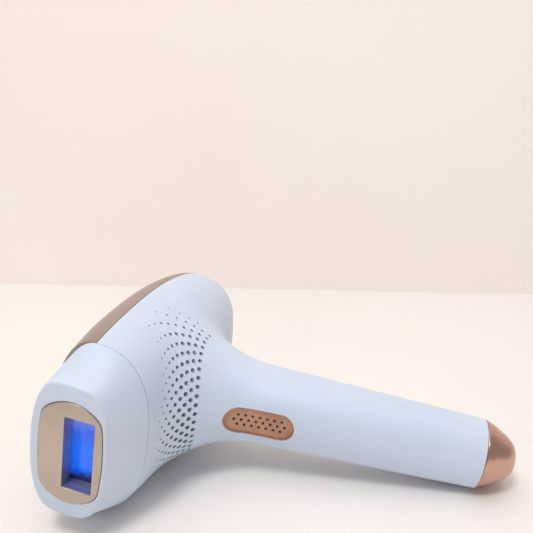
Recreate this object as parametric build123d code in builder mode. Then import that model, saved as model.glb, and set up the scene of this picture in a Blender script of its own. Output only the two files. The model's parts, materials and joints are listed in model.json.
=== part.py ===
from build123d import *
from math import cos, pi, radians, sin
import os

os.makedirs("parts", exist_ok=True)

# A pistol-shaped light-pulse hair remover, drawn about its plane of symmetry, Z = 0.
# X runs from the top of the head towards the end of the handle, Y from the light
# window into the head, Z across.  At the end of the file every piece is laid down
# on its right cheek, as the device rests on a table.  Millimetres throughout.

# Head: distance back from the window, then the crown, edge and belly heights and
# the half width there, all in the head's cross-section.
HEAD_STATIONS = [
    (18.0, -18.5, -2.3, 21.5, 36.2),
    (40.0, -22.0, -4.0, 24.5, 37.8),
    (70.0, -23.0, -5.0, 26.0, 39.2),
    (95.0, -20.5, -4.5, 25.5, 38.4),
    (115.0, -15.0, -2.5, 22.5, 34.8),
    (128.0, -8.0, 0.5, 17.5, 27.0),
    (134.0, 0.0, 4.0, 11.0, 15.0),
    (136.0, 3.0, 5.5, 8.0, 7.0),
]
CROWN_POWER = 2.2
BELLY_POWER = 2.5
OVAL_POINTS = 28
RING_POINTS = 16
SEAM_Y = 18.0

# Cartridge: the same outline drawn in towards the barrel-shaped bezel.
CARTRIDGE_STATIONS = [
    (17.85, -18.5, -2.3, 21.5, 36.2),
    (11.0, -18.3, -1.9, 18.8, 33.8),
    (5.0, -17.8, -1.5, 15.8, 30.8),
    (1.4, -16.9, -1.4, 14.4, 28.9),
    (0.0, -16.0, -1.4, 13.6, 28.0),
]
CAVITY_FRONT = 7.8
CAVITY_STATIONS = [
    (18.4, -18.5, -2.3, 21.5, 36.2),
    (11.0, -18.3, -1.9, 18.8, 33.8),
    (CAVITY_FRONT, -18.0, -1.6, 16.9, 32.0),
]

# Neck: distance along the handle's axis, then the half depth and half width.
NECK_STATIONS = [
    (16.0, 43.0, 33.0),
    (21.0, 36.0, 29.8),
    (26.0, 30.0, 26.4),
    (31.0, 25.6, 23.4),
    (37.0, 21.8, 20.9),
    (44.0, 19.2, 19.1),
    (52.0, 17.9, 17.9),
]
GRIP_START = 52.0
GRIP_RADIUS = 17.9
END_RADIUS = 15.1
HANDLE_LEAN = 5.0
AXIS_Y = 64.1
HANDLE_END = 150.0
CAP_LENGTH = 14.7
CAP_CURVE = [(1.5, 14.6), (3.0, 14.1), (5.7, 12.8), (10.2, 10.3), (13.0, 8.1), (14.2, 6.6), (14.7, 5.2)]

# how far the handle drops when the head and the end cap both touch the table
REST_TILT = 9.2

WALL = 2.2
GAP = 0.3
FIT = 0.1

# Light window and what stands behind it
WINDOW_X = 3.3
WINDOW_WIDTH = 11.8
WINDOW_LENGTH = 30.0
PLATE_FRONT = -0.4
PLATE_THICKNESS = 1.6
PLATE_HALF_WIDTH = 12.6
PLATE_CORNER_X = 11.4
PLATE_CORNER_Z = 16.0
PLATE_CROWN_Z = 21.3
PLATE_CORNER_RADIUS = 3.0
SLEEVE_WIDTH = 14.0
SLEEVE_LENGTH = 32.2
GLASS_FACE = 6.0
GLASS_THICKNESS = 1.6
LAMP_Y = 10.9
LAMP_RADIUS = 2.4
LAMP_LENGTH = 38.0
FERRULE_RADIUS = 2.8
FERRULE_LENGTH = 4.0
REFLECTOR_WIDTH = 11.6
REFLECTOR_LENGTH = 29.6
REFLECTOR_BACK = 14.4
REFLECTOR_SHEET = 0.6
CARRIER_WIDTH = 15.6
CARRIER_LENGTH = 42.0
CARRIER_BACK = 15.4
LID_OVAL = (-15.4, -2.2, 18.2, 32.8)
LID_THICKNESS = 2.2
BLADE_WIDTH = 4.0
BLADE_THICKNESS = 0.8
BLADE_TIP = 24.0
BLADE_PITCH = 24.0
CARTRIDGE_TRAVEL = 25.0

# Stack behind the seam: socket, heat sink, fan and main board
SOCKET_FACE = 18.6
SOCKET_DEPTH = 4.0
SOCKET_OVAL = (-15.8, -2.4, 18.6, 33.0)
SINK_FACE = 28.0
SINK_DEPTH = 15.0
SINK_BASE = 3.0
SINK_X = 1.5
SINK_HEIGHT = 32.0
SINK_WIDTH = 44.0
SINK_FIN = 1.2
SINK_FIN_PITCH = 4.2
SINK_FINS = 11
FAN_FACE = 44.0
FAN_DEPTH = 10.0
FAN_SIZE = 36.0
FAN_X = 1.0
FAN_BORE = 16.8
FAN_HUB = 8.0
FAN_PIN = 1.0
FAN_BLADES = 7
FAN_BLADE_CHORD = 6.0
BOARD_FACE = 62.0
BOARD_THICKNESS = 1.6
BOARD_X = 3.0
BOARD_HEIGHT = 24.0
BOARD_WIDTH = 56.0

# Top panel: display window, keys and the board under them
LENS_Y = 68.0
LENS_WIDTH = 20.0
LENS_LENGTH = 26.0
LENS_CORNER = 4.0
LEVEL_Y = 91.0
MODE_Y = 106.0
LEVEL_RADIUS = 6.5
MODE_RADIUS = 5.0
KEY_PROUD = 0.5
KEY_FLOOR = 15.0
KEY_STEM_RADIUS = 1.5
KEY_SWITCH_TOP = 13.4
KEY_TRAVEL = 0.6
CONTROL_BOARD_X = 11.5
CONTROL_BOARD_Y = 84.0
CONTROL_BOARD_WIDTH = 26.0
CONTROL_BOARD_LENGTH = 56.0
DISPLAY_DEPTH = 5.0

# Grip: fire button at the back, air inlet at the front, capacitor inside
FLASH_A = 60.0
FLASH_LENGTH = 20.0
FLASH_WIDTH = 10.0
FLASH_PROUD = 0.8
FLASH_TRAVEL = 1.0
FLASH_SWITCH_TOP = 9.0
GRILLE_A = 54.8
GRILLE_LENGTH = 30.0
GRILLE_WIDTH = 12.2
GRILLE_SINK = 1.0
GRILLE_PITCH = 3.1
GRILLE_ROW = 2.3
GRILLE_HOLE = 0.65
CAPACITOR_A = 94.0
CAPACITOR_RADIUS = 10.0
CAPACITOR_LENGTH = 38.0
VENT_RINGS = 2
VENT_STEPS = 6
VENT_STEP = 13.0
VENT_INNER = 26.0
VENT_PITCH = 5.0
VENT_RADIUS = 1.3

# End cap and the power inlet in it
CAP_SPIGOT = 6.0
CAP_HOLLOW = 8.0
INLET_RADIUS = 4.0
JACK_FACE = 158.2
JACK_LENGTH = 12.0

# Self-tapping screws and the bosses that stand across the parting plane for them
SCREW_RADIUS = 1.2
SCREW_HEAD_RADIUS = 2.3
SCREW_HEAD_DEPTH = 1.6
SCREW_SEAT = 6.0
SCREW_BITE = 8.0
BOSS_RADIUS = 3.2
BOSSES = [(16.0, 112.0), (84.0, 71.4), (138.0, 76.2)]

along = Vector(cos(radians(HANDLE_LEAN)), sin(radians(HANDLE_LEAN)), 0)
front = Vector(sin(radians(HANDLE_LEAN)), -cos(radians(HANDLE_LEAN)), 0)
handle_root = Vector(0, AXIS_Y, 0)
GRIP_TAPER = (GRIP_RADIUS - END_RADIUS) / (HANDLE_END - GRIP_START)


def oval(crown, edge, belly, half_width):
    """Points of a closed rounded section whose widest line is off its centre."""
    points = []
    for i in range(OVAL_POINTS):
        turn = 2 * pi * i / OVAL_POINTS
        power = BELLY_POWER if cos(turn) > 0 else CROWN_POWER
        depth = belly - edge if cos(turn) > 0 else edge - crown
        reach = (abs(cos(turn)) ** power + abs(sin(turn)) ** power) ** (-1 / power)
        points.append((edge + depth * reach * cos(turn), half_width * reach * sin(turn)))
    return points


def closed_curve(points):
    """Closed spline whose knots are evenly spaced, so that lofts between such curves stay light."""
    return Edge.make_spline(points, periodic=True, parameters=list(range(len(points) + 1)))


def loft_ovals(stations, inset):
    """Loft the rounded sections, every one drawn in by the inset."""
    with BuildPart() as block:
        for y, crown, edge, belly, half_width in stations:
            with BuildSketch(Plane.XZ.offset(-y)):
                with BuildLine():
                    add(closed_curve(oval(crown + inset, edge, belly - inset, half_width - inset)))
                make_face()
        loft()
    return block.part


def ellipse(across, deep):
    """Points of an ellipse on the handle's cross-section."""
    turns = [2 * pi * i / RING_POINTS for i in range(RING_POINTS)]
    return [(across * cos(turn), deep * sin(turn)) for turn in turns]


def across_handle(distance):
    """Plane square to the handle, its Y pointing to the handle's front."""
    return Plane(handle_root + along * distance, x_dir=(0, 0, 1), z_dir=along)


def facing_front(distance):
    """Plane through the handle's axis that looks out of its front, X along the handle."""
    return Plane(handle_root + along * distance, x_dir=along, z_dir=front)


def facing_back(distance):
    """Plane through the handle's axis that looks out of its back, X along the handle."""
    return Plane(handle_root + along * distance, x_dir=along, z_dir=front * -1)


def handle_block(inset, length):
    """The flared neck lofted into the tapering grip, drawn in by the inset."""
    end_radius = GRIP_RADIUS - (length - GRIP_START) * GRIP_TAPER
    with BuildPart() as block:
        for distance, half_depth, half_width in NECK_STATIONS:
            with BuildSketch(across_handle(distance)):
                with BuildLine():
                    add(closed_curve(ellipse(half_width - inset, half_depth - inset)))
                make_face()
        loft()
        for distance, radius in ((GRIP_START, GRIP_RADIUS - inset), (length, end_radius - inset)):
            with BuildSketch(across_handle(distance)):
                with BuildLine():
                    add(closed_curve(ellipse(radius, radius)))
                make_face()
        loft(ruled=True)
    return block.part


def head_at(inset):
    """The head's stations, the tip drawn back too so that the wall keeps its thickness."""
    if inset <= 0:
        return HEAD_STATIONS
    stations = [(SEAM_Y - 1,) + HEAD_STATIONS[0][1:]] + HEAD_STATIONS[1:-1]
    return [station for station in stations if station[4] > 4 * inset]


head_outer = loft_ovals(HEAD_STATIONS, 0)
head_inner = loft_ovals(head_at(WALL), WALL)
handle_outer = handle_block(0, HANDLE_END)
handle_inner = handle_block(WALL, HANDLE_END + 2)
head_proud = loft_ovals(HEAD_STATIONS, -KEY_PROUD)
outer_form = head_outer + handle_outer
inner_form = head_inner + handle_inner

# The zone above the edge line, which the top panel fills
with BuildPart() as crown_zone:
    with BuildSketch(Plane.XY.offset(-60)):
        with BuildLine():
            edge_line = Spline(*[(edge, y) for y, _, edge, _, _ in HEAD_STATIONS[:-1]], (7, 140))
            Polyline(edge_line @ 1, (-40, 140), (-40, SEAM_Y), edge_line @ 0)
        make_face()
    extrude(amount=120)

# ------------------------------------------------------------- openings in the shells
vents = []
for ring in range(VENT_RINGS):
    reach = VENT_INNER + VENT_PITCH * ring
    for step in range(VENT_STEPS):
        turn = radians((step + 0.5 + 0.5 * (ring % 2)) * VENT_STEP)
        for side in (-1, 1):
            vents.append((AXIS_Y - reach * cos(turn), side * reach * sin(turn), VENT_RADIUS - 0.08 * ring))

with BuildPart() as openings:
    with BuildSketch(Plane.YZ.offset(10)):
        for y, z, radius in vents:
            with Locations((y, z)):
                Circle(radius)
    extrude(amount=30)
    with BuildSketch(facing_front(GRILLE_A)):
        SlotOverall(GRILLE_LENGTH + 2 * FIT, GRILLE_WIDTH + 2 * FIT)
    extrude(amount=30)
    with BuildSketch(facing_back(FLASH_A)):
        SlotOverall(FLASH_LENGTH + 2 * GAP, FLASH_WIDTH + 2 * GAP)
    extrude(amount=30)
    with BuildSketch(Plane.XY.offset(-50)):
        with Locations(*BOSSES):
            Circle(SCREW_RADIUS)
    extrude(amount=50 + SCREW_BITE)
    with BuildSketch(Plane.XY.offset(-50)):
        with Locations(*BOSSES):
            Circle(SCREW_HEAD_RADIUS + FIT)
    extrude(amount=50 - SCREW_SEAT)

# ---------------------------------------------------------------- handpiece shells
with BuildPart() as screw_bosses:
    with BuildSketch(Plane.XY.offset(-45)):
        with Locations(*BOSSES):
            Circle(BOSS_RADIUS)
    extrude(amount=90)
    add(outer_form, mode=Mode.INTERSECT)

# the whole wall, crown included, still in one piece
with BuildPart() as wall:
    add(outer_form)
    add(inner_form, mode=Mode.SUBTRACT)

# the part of the wall below the edge line, with its screw bosses and openings
with BuildPart() as hull:
    add(wall.part)
    add(crown_zone.part.moved(Location((GAP / 2, 0, 0))), mode=Mode.SUBTRACT)
    add(screw_bosses.part)
    add(openings.part, mode=Mode.SUBTRACT)

with BuildPart() as left_shell:
    add(hull.part)
    split(bisect_by=Plane.XY, keep=Keep.TOP)
left_shell.part.label = "left_shell"

with BuildPart() as right_shell:
    add(hull.part)
    split(bisect_by=Plane.XY, keep=Keep.BOTTOM)
right_shell.part.label = "right_shell"

# self-tapping screws that close the two halves, driven from the right
with BuildPart() as shell_screws:
    with BuildSketch(Plane.XY.offset(-SCREW_SEAT)):
        with Locations(*BOSSES):
            Circle(SCREW_RADIUS)
    extrude(amount=SCREW_SEAT + SCREW_BITE - 1)
    with BuildSketch(Plane.XY.offset(-SCREW_SEAT)):
        with Locations(*BOSSES):
            Circle(SCREW_HEAD_RADIUS)
    extrude(amount=-SCREW_HEAD_DEPTH)
    with BuildSketch(Plane.XY.offset(-SCREW_SEAT - SCREW_HEAD_DEPTH)):
        with Locations(*BOSSES):
            Rectangle(2.6, 0.6)
            Rectangle(0.6, 2.6)
    extrude(amount=1, mode=Mode.SUBTRACT)
shell_screws.part.label = "shell_screws"

# ------------------------------------------------------------------------- top panel
# openings for the display window and the two keys, which press towards the belly
with BuildPart() as panel_openings:
    with BuildSketch(Plane.ZY):
        with Locations((0, LENS_Y)):
            RectangleRounded(LENS_WIDTH + 2 * FIT, LENS_LENGTH + 2 * FIT, LENS_CORNER)
        with Locations((0, LEVEL_Y)):
            Circle(LEVEL_RADIUS + GAP)
        with Locations((0, MODE_Y)):
            Circle(MODE_RADIUS + GAP)
    extrude(amount=40)

with BuildPart() as top_panel:
    add(wall.part)
    add(crown_zone.part, mode=Mode.INTERSECT)
    add(panel_openings.part, mode=Mode.SUBTRACT)
top_panel.part.label = "top_panel"

with BuildPart() as display_lens:
    with BuildSketch(Plane.ZY):
        with Locations((0, LENS_Y)):
            RectangleRounded(LENS_WIDTH, LENS_LENGTH, LENS_CORNER)
    extrude(amount=40)
    add(head_outer, mode=Mode.INTERSECT)
    add(head_inner, mode=Mode.SUBTRACT)
display_lens.part.label = "display_lens"


def round_key(y, radius):
    """A key whose top follows the crown a little proud of it, on a short stem."""
    with BuildPart() as key:
        with BuildSketch(Plane.ZY.offset(KEY_FLOOR)):
            with Locations((0, y)):
                Circle(radius)
        extrude(amount=40)
        add(head_proud, mode=Mode.INTERSECT)
        with BuildSketch(Plane.ZY.offset(KEY_FLOOR)):
            with Locations((0, y)):
                Circle(KEY_STEM_RADIUS)
        extrude(amount=KEY_SWITCH_TOP - KEY_FLOOR + KEY_TRAVEL + GAP)
    return key


level_button = round_key(LEVEL_Y, LEVEL_RADIUS)
level_button.part.label = "level_button"
mode_button = round_key(MODE_Y, MODE_RADIUS)
mode_button.part.label = "mode_button"

# ----------------------------------------------------------------------- lamp cartridge
def plate_outline(margin):
    """Outline of the contact plate: bowed sides and ends with rounded corners."""
    side, corner_x = PLATE_HALF_WIDTH + margin, PLATE_CORNER_X + margin
    corner_z, crown = PLATE_CORNER_Z + margin, PLATE_CROWN_Z + margin
    with BuildSketch() as outline:
        with BuildLine():
            ThreePointArc((-corner_x, corner_z), (0, crown), (corner_x, corner_z))
            ThreePointArc((corner_x, corner_z), (side, 0), (corner_x, -corner_z))
            ThreePointArc((corner_x, -corner_z), (0, -crown), (-corner_x, -corner_z))
            ThreePointArc((-corner_x, -corner_z), (-side, 0), (-corner_x, corner_z))
        make_face()
        fillet(outline.vertices(), PLATE_CORNER_RADIUS)
    return outline.sketch


def behind(y):
    """Plane square to Y at the given depth; a negative extrusion runs into the head."""
    return Plane.XZ.offset(-y)


# bead-blasted metal plate that touches the skin round the window
with BuildPart() as contact_plate:
    with BuildSketch(behind(PLATE_FRONT)):
        add(plate_outline(0))
    extrude(amount=-PLATE_THICKNESS)
    fillet(contact_plate.faces().sort_by(Axis.Y)[0].edges(), 0.6)
    with BuildSketch(behind(PLATE_FRONT)):
        with Locations((WINDOW_X, 0)):
            Rectangle(WINDOW_WIDTH, WINDOW_LENGTH)
    extrude(amount=-PLATE_THICKNESS, mode=Mode.SUBTRACT)
contact_plate.part.label = "contact_plate"

cartridge_outer = loft_ovals(CARTRIDGE_STATIONS, 0)
cartridge_cavity = loft_ovals(CAVITY_STATIONS, WALL)

# moulded nose: bezel, side walls and the tunnel that holds the sleeve and the filter
with BuildPart() as cartridge_housing:
    add(cartridge_outer)
    add(cartridge_cavity, mode=Mode.SUBTRACT)
    with BuildSketch(behind(PLATE_FRONT)):
        add(plate_outline(FIT))
    extrude(amount=-PLATE_THICKNESS - FIT, mode=Mode.SUBTRACT)
    with BuildSketch(behind(0)):
        with Locations((WINDOW_X, 0)):
            Rectangle(SLEEVE_WIDTH + 2 * FIT, SLEEVE_LENGTH + 2 * FIT)
    extrude(amount=-CAVITY_FRONT - 1, mode=Mode.SUBTRACT)
cartridge_housing.part.label = "cartridge_housing"

# bright sleeve between the contact plate and the filter glass
with BuildPart() as window_sleeve:
    with BuildSketch(behind(PLATE_FRONT + PLATE_THICKNESS + FIT)):
        with Locations((WINDOW_X, 0)):
            Rectangle(SLEEVE_WIDTH, SLEEVE_LENGTH)
            Rectangle(WINDOW_WIDTH, WINDOW_LENGTH, mode=Mode.SUBTRACT)
    extrude(amount=-(GLASS_FACE - PLATE_FRONT - PLATE_THICKNESS - 2 * FIT))
window_sleeve.part.label = "window_sleeve"

with BuildPart() as filter_glass:
    with BuildSketch(behind(GLASS_FACE)):
        with Locations((WINDOW_X, 0)):
            Rectangle(SLEEVE_WIDTH, SLEEVE_LENGTH)
    extrude(amount=-GLASS_THICKNESS)
    chamfer(filter_glass.edges().filter_by(Axis.Z), 0.3)
filter_glass.part.label = "filter_glass"

# ceramic-filled carrier that locates the reflector and both lamp ends
with BuildPart() as lamp_carrier:
    with BuildSketch(behind(CAVITY_FRONT + FIT)):
        with Locations((WINDOW_X, 0)):
            Rectangle(CARRIER_WIDTH, CARRIER_LENGTH)
    extrude(amount=-(CARRIER_BACK - CAVITY_FRONT - FIT))
    fillet(lamp_carrier.edges().filter_by(Axis.Y), 1)
    with BuildSketch(behind(CAVITY_FRONT)):
        with Locations((WINDOW_X, 0)):
            Rectangle(REFLECTOR_WIDTH + 2 * FIT, REFLECTOR_LENGTH + 2 * FIT)
            Rectangle(FERRULE_RADIUS * 2 + 2 * FIT, LAMP_LENGTH + 2 * FIT)
    extrude(amount=-(REFLECTOR_BACK + 2 * FIT - CAVITY_FRONT), mode=Mode.SUBTRACT)
lamp_carrier.part.label = "lamp_carrier"

# polished aluminium trough behind the lamp
with BuildPart() as reflector:
    with BuildSketch(Plane.XY.offset(-REFLECTOR_LENGTH / 2)):
        with BuildLine():
            mouth = CAVITY_FRONT + 2 * FIT
            half = REFLECTOR_WIDTH / 2
            outer_bow = ThreePointArc(
                (WINDOW_X - half, mouth), (WINDOW_X, REFLECTOR_BACK), (WINDOW_X + half, mouth)
            )
            Line(outer_bow @ 1, (WINDOW_X + half - REFLECTOR_SHEET, mouth))
            inner_bow = ThreePointArc(
                (WINDOW_X + half - REFLECTOR_SHEET, mouth),
                (WINDOW_X, REFLECTOR_BACK - REFLECTOR_SHEET),
                (WINDOW_X - half + REFLECTOR_SHEET, mouth),
            )
            Line(inner_bow @ 1, outer_bow @ 0)
        make_face()
    extrude(amount=REFLECTOR_LENGTH)
reflector.part.label = "reflector"

# xenon flash tube
with BuildPart() as lamp_tube:
    with BuildSketch(Plane.XY.offset(-LAMP_LENGTH / 2 + FERRULE_LENGTH)):
        with Locations((WINDOW_X, LAMP_Y)):
            Circle(LAMP_RADIUS)
            Circle(LAMP_RADIUS - 0.8, mode=Mode.SUBTRACT)
    extrude(amount=LAMP_LENGTH - 2 * FERRULE_LENGTH)
lamp_tube.part.label = "lamp_tube"

# crimped metal ferrules on the two ends of the tube
with BuildPart() as lamp_ferrules:
    for end in (-1, 1):
        with BuildSketch(Plane.XY.offset(end * (LAMP_LENGTH / 2 - FERRULE_LENGTH))):
            with Locations((WINDOW_X, LAMP_Y)):
                Circle(FERRULE_RADIUS)
        extrude(amount=end * FERRULE_LENGTH)
lamp_ferrules.part.label = "lamp_ferrules"

# rear lid of the cartridge with a slot for each blade
with BuildPart() as cartridge_lid:
    with BuildSketch(behind(CARRIER_BACK + FIT)):
        with BuildLine():
            add(closed_curve(oval(*LID_OVAL)))
        make_face()
        with Locations((WINDOW_X, -BLADE_PITCH), (WINDOW_X, 0), (WINDOW_X, BLADE_PITCH)):
            Rectangle(BLADE_THICKNESS + 2 * FIT, BLADE_WIDTH + 2 * FIT, mode=Mode.SUBTRACT)
    extrude(amount=-LID_THICKNESS)
cartridge_lid.part.label = "cartridge_lid"

# plated blades that plug into the handpiece
with BuildPart() as cartridge_blades:
    with BuildSketch(behind(CARRIER_BACK + FIT)):
        with Locations((WINDOW_X, -BLADE_PITCH), (WINDOW_X, 0), (WINDOW_X, BLADE_PITCH)):
            Rectangle(BLADE_THICKNESS, BLADE_WIDTH)
    extrude(amount=-(BLADE_TIP - CARRIER_BACK - FIT))
    chamfer(cartridge_blades.faces().sort_by(Axis.Y)[-3:].edges().filter_by(Axis.Z), 0.25)
cartridge_blades.part.label = "cartridge_blades"

# ------------------------------------------------------------------ inside the handpiece
# moulded bulkhead that the cartridge plugs into
with BuildPart() as cartridge_socket:
    with BuildSketch(behind(SOCKET_FACE)):
        with BuildLine():
            add(closed_curve(oval(*SOCKET_OVAL)))
        make_face()
        with Locations((WINDOW_X, -BLADE_PITCH), (WINDOW_X, 0), (WINDOW_X, BLADE_PITCH)):
            Rectangle(BLADE_THICKNESS + 2 * GAP, BLADE_WIDTH + 2 * GAP, mode=Mode.SUBTRACT)
    extrude(amount=-SOCKET_DEPTH)
    with BuildSketch(behind(SOCKET_FACE + SOCKET_DEPTH)):
        with Locations((WINDOW_X, -BLADE_PITCH), (WINDOW_X, 0), (WINDOW_X, BLADE_PITCH)):
            Rectangle(5, 8)
            Rectangle(BLADE_THICKNESS + 2 * GAP, BLADE_WIDTH + 2 * GAP, mode=Mode.SUBTRACT)
    extrude(amount=-3)
cartridge_socket.part.label = "cartridge_socket"

# spring contacts that close behind the blades
with BuildPart() as socket_terminals:
    with BuildSketch(behind(SOCKET_FACE + SOCKET_DEPTH + 3)):
        with Locations((WINDOW_X, -BLADE_PITCH), (WINDOW_X, 0), (WINDOW_X, BLADE_PITCH)):
            Rectangle(4, 6)
    extrude(amount=-0.8)
socket_terminals.part.label = "socket_terminals"

# extruded heat sink, its fins towards the fan
with BuildPart() as heat_sink:
    with BuildSketch(behind(SINK_FACE)):
        with Locations((SINK_X, 0)):
            Rectangle(SINK_HEIGHT, SINK_WIDTH)
    extrude(amount=-SINK_BASE)
    with BuildSketch(behind(SINK_FACE + SINK_BASE)):
        with Locations((SINK_X, 0)):
            with GridLocations(0, SINK_FIN_PITCH, 1, SINK_FINS):
                Rectangle(SINK_HEIGHT, SINK_FIN)
    extrude(amount=-(SINK_DEPTH - SINK_BASE))
heat_sink.part.label = "heat_sink"

# axial fan: frame with its hub mount and struts
with BuildPart() as fan_frame:
    with BuildSketch(behind(FAN_FACE)):
        with Locations((FAN_X, 0)):
            RectangleRounded(FAN_SIZE, FAN_SIZE, 3)
            Circle(FAN_BORE, mode=Mode.SUBTRACT)
    extrude(amount=-FAN_DEPTH)
    with BuildSketch(behind(FAN_FACE + FAN_DEPTH - 1.6)):
        with Locations((FAN_X, 0)):
            Circle(FAN_HUB)
            with PolarLocations(0, 4, 45):
                with Locations((FAN_BORE / 2, 0)):
                    Rectangle(FAN_BORE + 2, 2)
    extrude(amount=-1.6)
    with BuildSketch(behind(FAN_FACE)):
        with Locations((FAN_X, 0)):
            with GridLocations(FAN_SIZE - 6, FAN_SIZE - 6, 2, 2):
                Circle(1.5)
    extrude(amount=-FAN_DEPTH, mode=Mode.SUBTRACT)
fan_frame.part.label = "fan_frame"

# steel pin pressed into the frame's hub
with BuildPart() as fan_pin:
    with BuildSketch(behind(FAN_FACE + 3)):
        with Locations((FAN_X, 0)):
            Circle(FAN_PIN)
    extrude(amount=-(FAN_DEPTH - 4.6))
fan_pin.part.label = "fan_pin"

# seven-bladed rotor
with BuildPart() as fan_rotor:
    with BuildSketch(behind(FAN_FACE + 1)):
        with Locations((FAN_X, 0)):
            Circle(FAN_HUB)
    extrude(amount=-(FAN_DEPTH - 3.2))
    for i in range(FAN_BLADES):
        turn = 2 * pi * i / FAN_BLADES
        spoke = Vector(cos(turn), 0, sin(turn))
        root = Vector(FAN_X, FAN_FACE + 4.2, 0) + spoke * (FAN_HUB - 1)
        lean = Vector(-sin(turn), 0.9, cos(turn))
        with BuildSketch(Plane(root, x_dir=lean, z_dir=spoke)):
            Rectangle(FAN_BLADE_CHORD, 0.9)
        extrude(amount=FAN_BORE - FAN_HUB + 0.4)
    with BuildSketch(behind(FAN_FACE + 2)):
        with Locations((FAN_X, 0)):
            Circle(FAN_PIN + 0.05)
    extrude(amount=-FAN_DEPTH, mode=Mode.SUBTRACT)
fan_rotor.part.label = "fan_rotor"

# ------------------------------------------------------------------------- electronics
with BuildPart() as main_board:
    with BuildSketch(behind(BOARD_FACE)):
        with Locations((BOARD_X, 0)):
            RectangleRounded(BOARD_HEIGHT, BOARD_WIDTH, 2)
    extrude(amount=-BOARD_THICKNESS)
main_board.part.label = "main_board"

# ferrite step-up transformer on the board
with BuildPart() as step_up_transformer:
    with BuildSketch(behind(BOARD_FACE + BOARD_THICKNESS)):
        with Locations((BOARD_X - 4, 17)):
            Rectangle(16, 16)
    extrude(amount=-12)
    with BuildSketch(Plane.YZ.offset(BOARD_X - 12)):
        with Locations((BOARD_FACE + BOARD_THICKNESS + 6, 11.5), (BOARD_FACE + BOARD_THICKNESS + 6, 22.5)):
            Rectangle(8, 2.5)
    extrude(amount=16, mode=Mode.SUBTRACT)
step_up_transformer.part.label = "step_up_transformer"

with BuildPart() as trigger_coil:
    with BuildSketch(behind(BOARD_FACE + BOARD_THICKNESS)):
        with Locations((BOARD_X - 4, -16)):
            Circle(5)
    extrude(amount=-11)
trigger_coil.part.label = "trigger_coil"

with BuildPart() as power_transistors:
    with BuildSketch(behind(BOARD_FACE + BOARD_THICKNESS)):
        with Locations((BOARD_X + 8, -16), (BOARD_X + 8, -2)):
            Rectangle(4.5, 10)
    extrude(amount=-9)
power_transistors.part.label = "power_transistors"

# large electrolytic capacitor that feeds the flash, lying in the grip
with BuildPart() as flash_capacitor:
    with BuildSketch(across_handle(CAPACITOR_A)):
        Circle(CAPACITOR_RADIUS)
    extrude(amount=CAPACITOR_LENGTH)
    fillet(flash_capacitor.edges(), 1)
flash_capacitor.part.label = "flash_capacitor"

# board under the top panel with the display module and the two key switches
with BuildPart() as control_board:
    with BuildSketch(Plane.ZY.offset(CONTROL_BOARD_X)):
        with Locations((0, CONTROL_BOARD_Y)):
            RectangleRounded(CONTROL_BOARD_WIDTH, CONTROL_BOARD_LENGTH, 2)
    extrude(amount=-1.2)
control_board.part.label = "control_board"

with BuildPart() as display_module:
    with BuildSketch(Plane.ZY.offset(CONTROL_BOARD_X)):
        with Locations((0, LENS_Y)):
            Rectangle(18, 24)
    extrude(amount=DISPLAY_DEPTH)
display_module.part.label = "display_module"

with BuildPart() as key_switches:
    with BuildSketch(Plane.ZY.offset(CONTROL_BOARD_X)):
        with Locations((0, LEVEL_Y), (0, MODE_Y)):
            Rectangle(6, 6)
    extrude(amount=KEY_SWITCH_TOP - CONTROL_BOARD_X)
key_switches.part.label = "key_switches"

# ----------------------------------------------------------------------- handle fittings
handle_proud = handle_block(-FLASH_PROUD, HANDLE_END)
handle_flash_floor = handle_block(WALL + 1.0, HANDLE_END)
handle_grille_face = handle_block(GRILLE_SINK, HANDLE_END)

# thumb button that fires the lamp
with BuildPart() as flash_button:
    with BuildSketch(facing_back(FLASH_A)):
        SlotOverall(FLASH_LENGTH, FLASH_WIDTH)
    extrude(amount=30)
    add(handle_proud, mode=Mode.INTERSECT)
    add(handle_flash_floor, mode=Mode.SUBTRACT)
    with BuildSketch(facing_back(FLASH_A).offset(FLASH_SWITCH_TOP + FLASH_TRAVEL + GAP)):
        Circle(2)
    extrude(amount=8)
    add(handle_proud, mode=Mode.INTERSECT)
flash_button.part.label = "flash_button"

with BuildPart() as flash_switch:
    with BuildSketch(facing_back(FLASH_A).offset(FLASH_SWITCH_TOP - 4)):
        RectangleRounded(6, 6, 0.5)
    extrude(amount=4)
flash_switch.part.label = "flash_switch"

with BuildPart() as flash_board:
    with BuildSketch(facing_back(FLASH_A).offset(FLASH_SWITCH_TOP - 5.2)):
        RectangleRounded(24, 12, 1)
    extrude(amount=1.2)
flash_board.part.label = "flash_board"

# perforated metal grille sunk in the front of the grip
with BuildPart() as intake_grille:
    with BuildSketch(facing_front(GRILLE_A)):
        SlotOverall(GRILLE_LENGTH, GRILLE_WIDTH)
    extrude(amount=30)
    add(handle_grille_face, mode=Mode.INTERSECT)
    add(handle_inner, mode=Mode.SUBTRACT)
    with BuildSketch(facing_front(GRILLE_A)):
        with GridLocations(GRILLE_PITCH, 2 * GRILLE_ROW, 7, 2):
            Circle(GRILLE_HOLE)
        with GridLocations(GRILLE_PITCH, 0, 8, 1):
            Circle(GRILLE_HOLE)
    extrude(amount=30, mode=Mode.SUBTRACT)
intake_grille.part.label = "intake_grille"

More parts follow.
